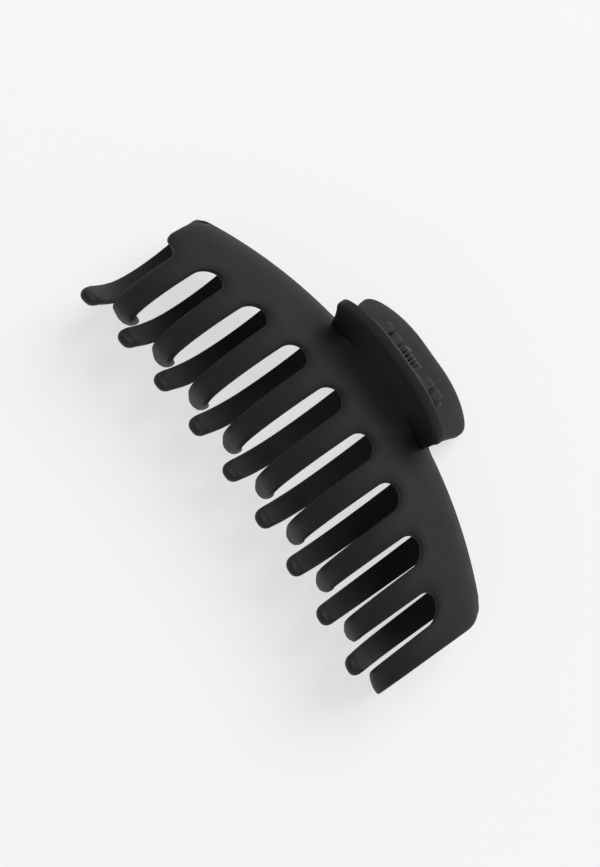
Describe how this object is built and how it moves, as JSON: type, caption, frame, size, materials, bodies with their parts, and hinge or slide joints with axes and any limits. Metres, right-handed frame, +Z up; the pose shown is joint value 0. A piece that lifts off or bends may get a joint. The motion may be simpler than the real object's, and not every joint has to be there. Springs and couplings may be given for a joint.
{
  "type": "claw clip",
  "caption": "Large sprung hair claw: two curved toothed jaws that interlace, each with a flared thumb handle, joined by a pin hinge with a torsion spring.",
  "frame": {"origin": "centre of the footprint on the resting plane, with the clip lying on its back", "axes": "+X along the hinge axis, +Y from the tooth tips to the handles, +Z up out of the front jaw"},
  "size_m": [0.112, 0.0566, 0.04],
  "materials": {
    "matte_black_plastic": "soft-touch matte",
    "black_spring_wire": "black coated wire",
    "dark_pin_steel": "dark drawn wire"
  },
  "bodies": {
    "rear_half": {"rear_jaw": "matte_black_plastic", "hinge_pin": "dark_pin_steel", "torsion_spring": "black_spring_wire"},
    "front_half": {"front_jaw": "matte_black_plastic"}
  },
  "joints": [
    {"name": "jaw_hinge", "type": "hinge", "parent": "rear_half", "child": "front_half", "pos_m": [0, 0.02198, 0.01949], "axis": [-1, 0, 0], "range_deg": [0, 70], "stiffness_Nm_per_rad": 0.12, "springref_deg": -68.75, "deforming": ["torsion_spring"]}
  ]
}
